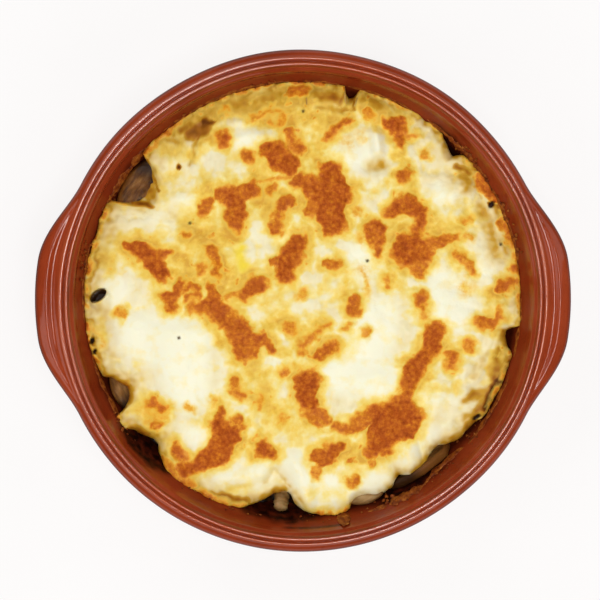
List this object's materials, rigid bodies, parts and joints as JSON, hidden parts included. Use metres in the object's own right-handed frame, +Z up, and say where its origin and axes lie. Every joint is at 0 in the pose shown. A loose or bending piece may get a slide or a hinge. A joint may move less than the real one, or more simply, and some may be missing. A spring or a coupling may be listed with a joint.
{
  "type": "baked pasta in a terracotta dish",
  "caption": "Baked pasta under browned melted cheese, in a shallow round glazed terracotta dish with a small ear on each side.",
  "frame": {"origin": "middle of the dish's flat base, on the surface it stands on", "axes": "+Z up out of the dish, +X through the middle of one ear, +Y level and square to the ears"},
  "size_m": [0.1708, 0.16, 0.042],
  "materials": {
    "glazed_terracotta": "gloss",
    "mushroom_sauce": "satin",
    "melted_cheese": "satin",
    "cooked_mushroom": "satin",
    "cooked_pasta": "satin"
  },
  "bodies": {
    "root": {"dish": "glazed_terracotta", "pasta_filling": "mushroom_sauce", "cheese_topping": "melted_cheese", "mushroom_slice_left": "cooked_mushroom", "mushroom_slice_top_left": "cooked_mushroom", "mushroom_slice_lower_left": "cooked_mushroom", "mushroom_slice_bottom_right": "cooked_mushroom", "mushroom_slice_on_edge": "cooked_mushroom", "mushroom_stem_end": "cooked_mushroom", "pasta_tube_left": "cooked_pasta", "pasta_tube_top": "cooked_pasta", "pasta_tube_top_right": "cooked_pasta"}
  },
  "joints": []
}
